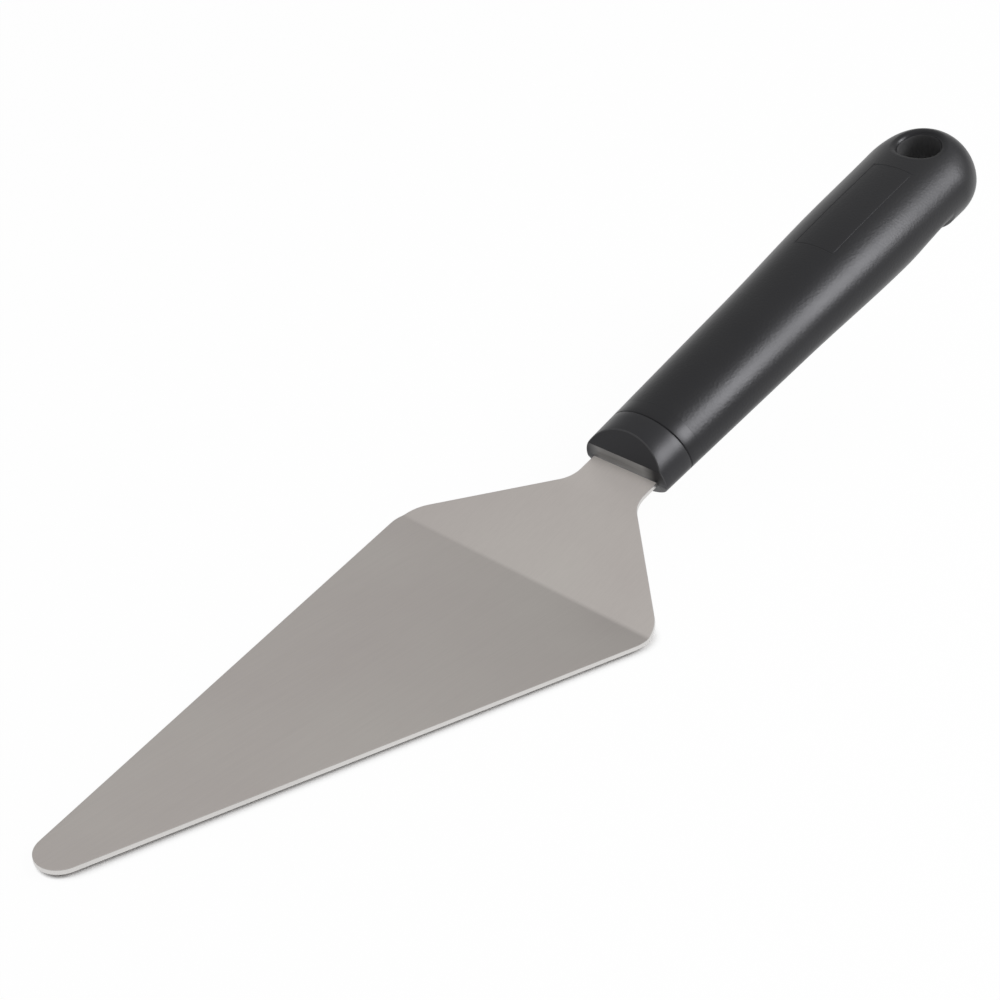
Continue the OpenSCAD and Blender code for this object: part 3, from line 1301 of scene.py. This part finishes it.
    def pierce(self, shell: Shell) -> None:
        """Opens the hanging hole through the closed outer form.

        Args:
            shell: The mesh of the grip.
        """
        reach = self.hole_r + self.rim_r + self.rim_border + self.rim_clear
        doomed = [f for f in shell.mesh.faces if any(self.off_hole(v.co) < reach for v in f.verts)]
        bmesh.ops.delete(shell.mesh, geom=doomed, context="FACES")
        bores = []
        for half in Half:
            opened = [e for e in shell.mesh.edges if len(e.link_faces) == 1]
            border = [e for e in opened if e.verts[0].co.z * half.value > 0]
            rings = self.rim(shell, half)
            shell.fill(border + shell.edges_of(rings[0]), UPWARD)
            shell.loft(rings[:self.rim_steps])
            shell.loft(rings[self.rim_steps - 1:], Look.BORE)
            bores.append(rings[-1])
        shell.loft(bores, Look.BORE)

    def true_up(self, shell: Shell) -> None:
        """Gives the corners on the plain outer form their true normals.

        Args:
            shell: The mesh of the grip, in the handle's frame.
        """
        start = self.groove + 2 * self.front_roll
        end = self.shape.length - self.end_slack
        rim = self.hole_r + self.rim_r - self.rim_slack
        turn = self.rise.handle().to_3x3()
        for corner in shell.mesh.verts:
            spot = corner.co
            if spot.x < start or spot.x > end or self.off_hole(spot) < rim:
                continue
            wide, tall = self.shape.radii(spot.x, Half.at(spot.z))
            if abs(math.hypot(spot.y / wide, spot.z / tall) - 1) < self.form_slack:
                corner[shell.truth] = turn @ self.shape.normal(spot)

    def build(self) -> bpy.types.Object:
        """Makes the grip with its socket, sunk panel line and hanging hole.

        Returns:
            The grip.
        """
        shell = Shell()
        rings = self.outer_rings(shell)
        shell.loft(rings)
        shell.crown(rings[-1], FORWARD * self.shape.length)
        section = rounded_rectangle(self.socket_w, self.socket_t, self.socket_r, self.socket_lift)
        socket = shell.sleeve(section, self.shape.collar_len, self.socket_len)
        shell.fill_rings([rings[0], socket], FORWARD)
        self.pierce(shell)
        self.true_up(shell)
        bmesh.ops.transform(shell.mesh, matrix=self.rise.handle(), verts=shell.mesh.verts)
        return shell.piece("grip_body")

    def finishes(self) -> tuple[Finish, ...]:
        """The fine-grained plastic, smooth next to the groove, and the bore's, painted lighter as light
        inside the hole.

        Returns:
            The finishes, in the order of Look.
        """
        grained = PlasticFinish(
            name="grip_plastic",
            light=(0.0060, 0.0060, 0.0065, 1.0),
            dark=(0.0035, 0.0035, 0.004, 1.0),
            rise=self.rise,
            roughness=0.37,
            smooth_roughness=0.33,
            grain_scale=1500.0,
            grain_depth=0.000028,
            grain_from=0.0125,
            grain_fade=0.0002,
        )
        # The bore is painted light grey: painted light inside the hanging hole.
        bore = replace(
            grained,
            name="painted_light_bore",
            light=(0.060, 0.060, 0.061, 1.0),
            dark=(0.050, 0.050, 0.051, 1.0),
            roughness=0.6,
            smooth_roughness=0.6,
            grain_depth=0.00001,
        )
        return grained, bore


@dataclass
class Studio:
    """The plain floor, the soft light and the camera."""

    floor_size: float = 8.0
    floor_drop: float = 0.001
    floor_colour: Colour = (0.74, 0.74, 0.74, 1.0)
    floor_rough: float = 0.9
    floor_gloss: float = 0.1
    floor_white: float = 0.97
    contact_reach: float = 0.0036
    contact_lean: Triple = (-0.62, 0.17, 0.77)
    contact_ends: Pair = (0.52, 0.8)
    contact_samples: int = 16
    sky_low: float = 0.22
    sky_high: float = 0.73
    backdrop_glow: float = 0.75
    backdrop_top: float = 0.45
    key_towards: Pair = (math.radians(-62), math.radians(43))
    key_aim: Triple = (0.14, 0.0, 0.04)
    key_distance: float = 0.9
    key_size: Pair = (0.42, 0.46)
    key_power: float = 6.8
    eye: Triple = (-0.1717, -0.2090, 0.20658)
    lens: float = 64.8
    sensor: float = 36.0
    clip: Pair = (0.01, 20.0)
    azimuth: float = math.radians(-47.142)
    elevation: float = math.radians(31.073)
    roll: float = math.radians(-0.202)

    def paving(self) -> bpy.types.Material:
        """The floor's material: it shows white, darkens where the part touches and is open from below.

        Returns:
            The material.
        """
        material, wiring, out = new_material("pale_floor")
        paths = wiring.add("ShaderNodeLightPath").outputs
        seen = wiring.math("MAXIMUM", paths["Is Camera Ray"], paths["Is Transmission Ray"])
        direct = wiring.span(paths["Diffuse Depth"], self.floor_white, 0.0)
        mirrored = wiring.math("MULTIPLY", paths["Is Glossy Ray"], direct)
        lean = wiring.add("ShaderNodeCombineXYZ", dict(zip("XYZ", self.contact_lean))).outputs[0]
        inputs = {"Distance": self.contact_reach, "Normal": lean}
        contact = wiring.add("ShaderNodeAmbientOcclusion", inputs, samples=self.contact_samples)
        open_floor = wiring.span(contact.outputs["AO"], 0.0, self.floor_white, self.contact_ends)
        share = wiring.math("MAXIMUM", wiring.math("MULTIPLY", seen, open_floor), mirrored)
        inputs = {"Roughness": self.floor_rough, "Specular IOR Level": self.floor_gloss}
        matt = wiring.add("ShaderNodeBsdfPrincipled", {"Base Color": self.floor_colour} | inputs)
        glow = wiring.add("ShaderNodeEmission", {"Color": WHITE, "Strength": 1.0})
        above = wiring.add("ShaderNodeMixShader", {0: share, 1: matt.outputs[0], 2: glow.outputs[0]})
        below = wiring.add("ShaderNodeBsdfTransparent").outputs[0]
        under = wiring.add("ShaderNodeNewGeometry").outputs["Backfacing"]
        sides = wiring.add("ShaderNodeMixShader", {0: under, 1: above.outputs[0], 2: below})
        wiring.tree.links.new(sides.outputs[0], out.inputs[0])
        return material

    def floor(self) -> bpy.types.Object:
        """Lays the pale floor.

        Returns:
            The floor.
        """
        shell = Shell()
        reach = self.floor_size / 2
        spots = ((-reach, -reach), (reach, -reach), (reach, reach), (-reach, reach))
        shell.mesh.faces.new(shell.ring(Vector((*s, -self.floor_drop)) for s in spots))
        floor = shell.piece("floor")
        floor.data.materials.append(self.paving())
        floor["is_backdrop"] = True
        return floor

    def sky(self) -> bpy.types.World:
        """Surrounds the scene with even light, brighter overhead and at a pale backdrop all round.

        Returns:
            The world.
        """
        world = bpy.data.worlds.new("soft_room")
        world.use_nodes = True
        world.node_tree.nodes.clear()
        wiring = Wiring(world.node_tree)
        towards = wiring.add("ShaderNodeTexCoord").outputs["Generated"]
        height = wiring.add("ShaderNodeSeparateXYZ", {0: towards}).outputs["Z"]
        backdrop = wiring.span(height, self.backdrop_glow, 0.0, (0.0, self.backdrop_top))
        strength = wiring.math("ADD", wiring.span(height, self.sky_low, self.sky_high), backdrop)
        light = wiring.add("ShaderNodeBackground", {"Color": WHITE, "Strength": strength})
        wiring.add("ShaderNodeOutputWorld", {0: light.outputs[0]})
        bpy.context.scene.world = world
        return world

    def key(self, steel: bpy.types.Object) -> bpy.types.Object:
        """Hangs the soft box beside the handle, flagged off the steel, which would flash white.

        Args:
            steel: The piece that the lamp leaves out.

        Returns:
            The lamp.
        """
        turn, lift = self.key_towards
        towards = Vector((math.cos(turn) * math.cos(lift), math.sin(turn) * math.cos(lift), math.sin(lift)))
        lamp = bpy.data.lights.new("soft_box", "AREA")
        lamp.shape = "RECTANGLE"
        lamp.size, lamp.size_y = self.key_size
        lamp.energy = self.key_power
        made = bpy.data.objects.new("soft_box", lamp)
        made.location = Vector(self.key_aim) + towards * self.key_distance
        made.rotation_mode = "QUATERNION"
        made.rotation_quaternion = (-towards).to_track_quat("-Z", "Y")
        flag = bpy.data.collections.new("flagged_off")
        flag.objects.link(steel)
        flag.collection_objects[0].light_linking.link_state = "EXCLUDE"
        made.light_linking.receiver_collection = flag
        bpy.context.scene.collection.objects.link(made)
        return made

    def camera(self) -> bpy.types.Object:
        """Sets the camera at the photograph's viewing angle.

        Returns:
            The camera.
        """
        a, e = self.azimuth, self.elevation
        right = Vector((math.cos(a), math.sin(a), 0))
        ahead = Vector((-math.sin(a) * math.cos(e), math.cos(a) * math.cos(e), -math.sin(e)))
        up = right.cross(ahead)
        c, s = math.cos(self.roll), math.sin(self.roll)
        x, y = right * c + up * s, up * c - right * s
        lens = bpy.data.cameras.new("camera")
        lens.sensor_width, lens.lens = self.sensor, self.lens
        lens.clip_start, lens.clip_end = self.clip
        made = bpy.data.objects.new("camera", lens)
        made.matrix_world = Matrix.Translation(self.eye) @ Matrix((x, y, -ahead)).transposed().to_4x4()
        bpy.context.scene.collection.objects.link(made)
        bpy.context.scene.camera = made
        return made

    def build(self, steel: bpy.types.Object) -> None:
        """Sets up the floor, the light and the camera.

        Args:
            steel: The piece that the soft box leaves out.
        """
        self.floor()
        self.sky()
        self.key(steel)
        self.camera()
        bpy.context.scene.view_settings.view_transform = "Standard"


@dataclass
class CakeServer:
    """The whole part: its three pieces and what each one stands for."""

    rise: Rise = field(default_factory=Rise)
    shape: HandleShape = field(default_factory=HandleShape)

    def build(self, effects: Effects) -> list[bpy.types.Object]:
        """Builds and dresses the pieces in order and sets them on the frame.

        Args:
            effects: The shared node groups.

        Returns:
            The pieces.
        """
        plan = (
            (Blade(self.rise), "blade", Slot.STEEL),
            (HandleCore(self.rise, self.shape), "handle_core", Slot.CORE),
            (Grip(self.rise, self.shape), "grip", Slot.GRIP),
        )
        pieces = []
        for maker, node, slot in plan:
            piece = maker.dressed(effects)
            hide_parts(node)
            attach(piece, "root")
            LOG.info("%s stands for %s: %d faces", piece.name, node, len(piece.data.polygons))
            pieces.append(piece)
        return pieces


def write_sizes() -> None:
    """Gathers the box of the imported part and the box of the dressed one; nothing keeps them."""
    boxes = {"cad": cad_box, "visual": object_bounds()}
    {name: [list(low), list(high)] for name, (low, high) in boxes.items()}


def main() -> None:
    """Builds the cake server and its studio."""
    logging.basicConfig(level=logging.INFO, format="%(name)s: %(message)s")
    pieces = CakeServer().build(Effects())
    Studio().build(pieces[0])
    write_sizes()
    LOG.info("%d pieces are dressed", len(pieces))


if __name__ == "__main__":
    main()
